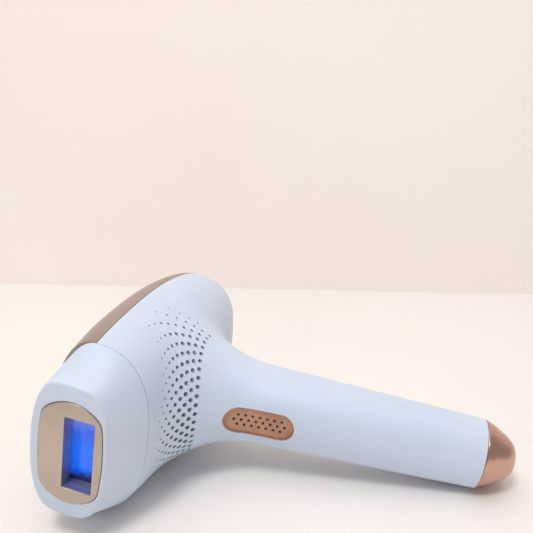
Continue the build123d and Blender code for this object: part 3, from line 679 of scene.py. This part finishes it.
# ---------------------------------------------------------------------------------------
# End cap: a spun, copper-plated aluminium cone that plugs the end of the grip.  The power
# plug goes through the round hole in its flat tip.
CAP_PROFILE = (
    (150.28, 8.0),
    (150.28, 14.8),
    (150.55, 15.0),
    (151.5, 14.58),
    (153.0, 14.08),
    (154.4, 13.48),
    (155.7, 12.78),
    (158.0, 11.6),
    (160.2, 10.28),
    (161.7, 9.25),
    (163.0, 8.08),
    (163.7, 7.35),
    (164.2, 6.58),
    (164.5, 5.95),
    (164.65, 5.2),
    (164.65, 4.0),
    (158.45, 4.0),
    (158.45, 8.0),
)
cap = bmesh.new()
corners = [cap.verts.new(grip_root + down_grip * a + grip_front * r) for a, r in CAP_PROFILE]
outline = [cap.edges.new((corners[i], corners[(i + 1) % len(corners)])) for i in range(len(corners))]
bmesh.ops.spin(
    cap, geom=corners + outline, cent=grip_root, axis=down_grip, angle=2 * pi, steps=96, use_merge=True,
)
bmesh.ops.recalc_face_normals(cap, faces=cap.faces)
cap_rims = [edge for edge in cap.edges if edge.is_manifold and edge.calc_face_angle() > radians(60)]
bmesh.ops.bevel(cap, geom=cap_rims, offset=0.15, segments=2, affect="EDGES", profile=0.5, material=-1)
# polished copper plating: a bright metal with fine turning rings round its axis
copper_plate, tree, shader, where = start_material("polished_copper_plating", "#CBA392", 0.24, 1.0)
tint(tree, shader, where, 20, "#C69D8B", "#D1AA99")
spun = add_node(
    tree, "ShaderNodeMapping",
    {"Rotation": (0, -atan2(press[2], press[0]), -GRIP_LEAN), "Scale": (1.0, 0.01, 0.01)}, {"Vector": where},
)
rings = add_node(
    tree, "ShaderNodeTexNoise", {"Scale": 5200.0, "Detail": 2.0}, {"Vector": spun.outputs["Vector"]}
)
ring_bump = add_node(
    tree, "ShaderNodeBump", {"Strength": 0.12, "Distance": 0.00001}, {"Height": rings.outputs["Fac"]}
)
tree.links.new(ring_bump.outputs["Normal"], shader.inputs["Normal"])
rough_range(tree, shader, where, 15, 0.2, 0.3)
put(cap, "end_cone", "handpiece", copper_plate, ("end_cap",), crisp=45)

# ---------------------------------------------------------------------------------------
# Air intake: a pressed copper-coloured tray let into the front of the grip, its wall
# turned up to the skin and its floor pierced with three staggered rows of round holes.
TRAY_SHEET = 0.35
TRAY_SINK = 1.75
HOLE_RADIUS = 0.65
HOLE_PITCH = 3.1
ROW_PITCH = 2.3


def grip_core(inset):
    """The grip as a closed form, drawn in by the inset."""
    return wrapped(96, 60, lambda turn, length: grip_point(30 + 60 * length, turn, inset))


def slot_plug(middle, length, width, side, low, high):
    """A slot-shaped plug that stands on the grip's axis, out of its front or its back."""
    rim = [grip_root + down_grip * (middle + a) + Vector((0, 0, z)) for a, z in slot_outline(length, width)]
    return prism(rim, grip_front * side * low, grip_front * side * high)


def common(bm, other):
    """What two closed meshes have in common."""
    return through_modifier(bm, "BOOLEAN", other, operation="INTERSECT", solver="EXACT")


tray = common(slot_plug(GRILLE_A, GRILLE_LENGTH, GRILLE_WIDTH, 1, 12, 24), grip_core(0.12))
tray = carve(tray, grip_core(WALL))
inside = slot_plug(GRILLE_A, GRILLE_LENGTH - 2 * TRAY_SHEET, GRILLE_WIDTH - 2 * TRAY_SHEET, 1, 12.5, 26)
floor = bmesh.new()
bmesh.ops.create_grid(floor, x_segments=24, y_segments=1, size=0.5)
for vert in floor.verts:
    distance = GRILLE_A + 40 * vert.co.x
    low = between(NECK, distance)[0] - TRAY_SINK
    vert.co = grip_root + down_grip * distance + grip_front * low + Vector((0, 0, 18 * vert.co.y))
swept = bmesh.ops.extrude_face_region(floor, geom=floor.faces[:])["geom"]
risen = [part for part in swept if isinstance(part, bmesh.types.BMVert)]
bmesh.ops.translate(floor, verts=risen, vec=grip_front * 14)
bmesh.ops.recalc_face_normals(floor, faces=floor.faces)
tray = carve(tray, common(inside, floor))
punches = bmesh.new()
places = [((i - 3) * HOLE_PITCH, side * ROW_PITCH) for i in range(7) for side in (-1, 1)]
places += [((i - 3.5) * HOLE_PITCH, 0) for i in range(8)]
stand = grip_front.to_track_quat("Z", "Y").to_matrix().to_4x4()
for a, z in places:
    middle = grip_root + down_grip * (GRILLE_A + a) + grip_front * 16 + Vector((0, 0, z))
    bmesh.ops.create_cone(
        punches, cap_ends=True, segments=20, radius1=HOLE_RADIUS, radius2=HOLE_RADIUS, depth=14,
        matrix=Matrix.Translation(middle) @ stand,
    )
tray = carve(tray, punches)
# the tray is painted, not plated: a satin copper lacquer that takes soft shadows
copper_lacquer, tree, shader, where = start_material("satin_copper_lacquer", "#B98B74", 0.4, 0.35)
tint(tree, shader, where, 9, "#B2846E", "#C0927B")
grain(tree, shader, where, 0.3, 0.01, 0.25)
rough_range(tree, shader, where, 6, 0.36, 0.46)
put(tray, "intake_tray", "handpiece", copper_lacquer, ("intake_grille",), crisp=30)

# ---------------------------------------------------------------------------------------
# Fire key on the back of the grip and the two keys of the panel: plated mouldings that
# stand just proud of the skin around them.
thumb = common(slot_plug(FIRE_A, FIRE_LENGTH, FIRE_WIDTH, -1, 13.5, 26), grip_core(-0.78))
thumb_rims = [edge for edge in thumb.edges if edge.is_manifold and edge.calc_face_angle() > radians(55)
              and (edge.verts[0].co - grip_root).dot(grip_front) < -14.5]
bmesh.ops.bevel(thumb, geom=thumb_rims, offset=0.3, segments=3, affect="EDGES", profile=0.5, material=-1)
put(thumb, "thumb_key", "fire_key", copper_plate, ("flash_button",), crisp=35)

# rose-gold plated plastic: the copper trim's colour, a little softer
key_plating, tree, shader, where = start_material("rose_gold_plated_plastic", "#D8B09A", 0.26, 1.0)
tint(tree, shader, where, 8, "#D2A993", "#DEB8A3")
rough_range(tree, shader, where, 4, 0.22, 0.32)
grain(tree, shader, where, 0.3, 0.008, 0.2)
dress(key_plating, "level_button", "mode_button")

# ---------------------------------------------------------------------------------------
# Display window: smoked acrylic, hard-coated, flush in the panel.
# smoked acrylic: near black, with sharp reflections off its hard coat
smoked, tree, shader, where = start_material("smoked_hard_coated_acrylic", "#17181B", 0.09)
tint(tree, shader, where, 14, "#141518", "#1C1D21")
rough_range(tree, shader, where, 9, 0.05, 0.12)
shader.inputs["Coat Weight"].default_value = 1.0
shader.inputs["IOR"].default_value = 1.49
dress(smoked, "display_lens")

# ---------------------------------------------------------------------------------------
# What is inside: lamp, reflector and contacts in the cartridge; socket, heat sink, fan,
# boards, capacitor and switches in the handpiece.  Each keeps its engineering shape.
# glass-filled nylon: a dull black with a coarse grain
black_nylon, tree, shader, where = start_material("glass_filled_black_nylon", "#1B1B1D", 0.55)
tint(tree, shader, where, 6, "#161617", "#232326")
grain(tree, shader, where, 0.3, 0.015, 0.4)
dress(black_nylon, "lamp_carrier", "cartridge_lid", "cartridge_socket", "fan_frame", "fan_rotor")
dress(black_nylon, "power_transistors", "key_switches", "flash_switch", "power_jack")

# plain bright aluminium: white metal with a very fine grain
bright, tree, shader, where = start_material("plain_bright_aluminium", "#CDCDD1", 0.28, 1.0)
tint(tree, shader, where, 12, "#C4C4C9", "#D4D4D8")
grain(tree, shader, where, 0.5, 0.01, 0.3)
dress(bright, "reflector", "lamp_ferrules", "heat_sink")

# fused quartz: water-clear tube
quartz, tree, shader, where = start_material("clear_fused_quartz", "#EEF1F6", 0.04)
tint(tree, shader, where, 5, "#EAEEF5", "#F4F6FA")
shader.inputs["Transmission Weight"].default_value = 0.9
shader.inputs["IOR"].default_value = 1.46
dress(quartz, "lamp_tube")

# stamped brass: yellow metal contacts
brass, tree, shader, where = start_material("stamped_brass", "#CDA863", 0.3, 1.0)
tint(tree, shader, where, 4, "#C39D58", "#D6B270")
grain(tree, shader, where, 0.3, 0.01, 0.3)
dress(brass, "cartridge_blades", "socket_terminals")

# zinc-plated steel: cold grey, faintly spangled
zinc, tree, shader, where = start_material("zinc_plated_steel", "#B4B6BA", 0.32, 1.0)
tint(tree, shader, where, 3, "#A9ABB0", "#BEC0C4")
grain(tree, shader, where, 0.2, 0.008, 0.3)
dress(zinc, "shell_screws", "fan_pin")

# solder mask: dark green, semi-gloss over raised tracks
solder_mask, tree, shader, where = start_material("green_solder_mask", "#14512F", 0.35)
tint(tree, shader, where, 2, "#0F4527", "#1B5E38")
grain(tree, shader, where, 1.2, 0.03, 0.3)
dress(solder_mask, "main_board", "control_board", "flash_board")

# sintered ferrite: matt, stony dark grey
ferrite, tree, shader, where = start_material("sintered_ferrite", "#3A3837", 0.6)
tint(tree, shader, where, 2, "#33312F", "#423F3D")
grain(tree, shader, where, 0.2, 0.02, 0.4)
dress(ferrite, "step_up_transformer")

# lacquered winding: orange-brown wire, each turn a ridge
winding, tree, shader, where = start_material("lacquered_copper_winding", "#A8602F", 0.34, 0.6)
turns = add_node(
    tree, "ShaderNodeTexWave", {"Scale": 900.0, "Distortion": 0.4, "bands_direction": "Y"}, {"Vector": where}
)
turn_bump = add_node(
    tree, "ShaderNodeBump", {"Strength": 0.6, "Distance": 0.0001}, {"Height": turns.outputs["Fac"]}
)
tree.links.new(turn_bump.outputs["Normal"], shader.inputs["Normal"])
tint(tree, shader, where, 3, "#9A5528", "#B46B38")
dress(winding, "trigger_coil")

# heat-shrunk sleeve: dark film, tight and slightly glossy
shrink_sleeve, tree, shader, where = start_material("dark_heat_shrunk_sleeve", "#181B26", 0.3)
tint(tree, shader, where, 12, "#141722", "#1E2230")
rough_range(tree, shader, where, 8, 0.24, 0.38)
dress(shrink_sleeve, "flash_capacitor")

# unlit display cell: dark grey-green glass
display_cell, tree, shader, where = start_material("unlit_display_cell", "#20262B", 0.16)
tint(tree, shader, where, 7, "#1B2126", "#272E34")
dress(display_cell, "display_module")

# ---------------------------------------------------------------------------------------
# The place: a pale table and a pale wall behind it, square to the way the camera looks.
CAMERA_PLACE = lie_down @ Vector((98.45, -171.16, 144.53))
CAMERA_RIGHT = Vector((0.9754, 0.2197, 0.0198))
CAMERA_DOWN = Vector((0.0891, -0.3103, -0.9464))
CAMERA_AHEAD = Vector((-0.2018, 0.9249, -0.3223))
WALL_AWAY = 0.506


def stage_sheet(name, size, matrix, material):
    """A flat square of the set."""
    bm = bmesh.new()
    bmesh.ops.create_grid(bm, x_segments=1, y_segments=1, size=size / 2, matrix=matrix)
    mesh = bpy.data.meshes.new(name)
    bm.to_mesh(mesh)
    bm.free()
    mesh.materials.append(material)
    sheet = bpy.data.objects.new(name, mesh)
    bpy.context.collection.objects.link(sheet)


# matt paper and paint: pale, warm, without highlights
table_paper, tree, shader, where = start_material("matt_cream_paper", "#F4F0EC", 0.75)
tint(tree, shader, where, 300, "#F2EEEA", "#F6F3EF")
wall_paint, tree, shader, where = start_material("matt_pink_cream_paint", "#F2E9E3", 0.85)
tint(tree, shader, where, 400, "#F1E7E0", "#F4ECE7")
shader.inputs["Emission Color"].default_value = hue("#F1E4DB")
shader.inputs["Emission Strength"].default_value = 0.14
level_ahead = Vector((CAMERA_AHEAD.x, CAMERA_AHEAD.y, 0)).normalized()
stage_sheet("table", 6, Matrix.Identity(4), table_paper)
wall_turn = level_ahead.to_track_quat("Z", "Y").to_matrix().to_4x4()
stage_sheet("wall", 6, Matrix.Translation(CAMERA_PLACE + level_ahead * WALL_AWAY) @ wall_turn, wall_paint)


def softbox(name, place, aim, size, power, colour):
    """A square lamp at a place, aimed at a point."""
    lamp = bpy.data.lights.new(name, "AREA")
    lamp.size = size
    lamp.energy = power
    lamp.color = hue(colour)[:3]
    holder = bpy.data.objects.new(name, lamp)
    aimed = (Vector(aim) - Vector(place)).to_track_quat("-Z", "Y").to_matrix().to_4x4()
    holder.matrix_world = Matrix.Translation(place) @ aimed
    bpy.context.collection.objects.link(holder)


softbox("key", (-0.08, -0.45, 1.0), (0.0, 0.05, 0.0), 0.25, 4.5, "#FFFDFA")
softbox("overhead", (0.0, 0.25, 1.15), (0.0, 0.05, 0.0), 1.2, 6.2, "#FAFBFF")
world = bpy.data.worlds.new("studio")
world.use_nodes = True
world.node_tree.nodes["Background"].inputs["Color"].default_value = hue("#F2EFEE")
world.node_tree.nodes["Background"].inputs["Strength"].default_value = 0.46
bpy.context.scene.world = world
bpy.context.scene.view_settings.view_transform = "Standard"

camera = bpy.data.objects.new("camera", bpy.data.cameras.new("camera"))
camera.data.sensor_width = 36.0
camera.data.lens = 42.15
camera.data.shift_x = -0.0614
camera.data.shift_y = 0.0572
camera.data.clip_start = 0.01
axes = Matrix((CAMERA_RIGHT, -CAMERA_DOWN, -CAMERA_AHEAD)).transposed().to_4x4()
camera.matrix_world = Matrix.Translation(CAMERA_PLACE) @ axes
bpy.context.collection.objects.link(camera)
bpy.context.scene.camera = camera
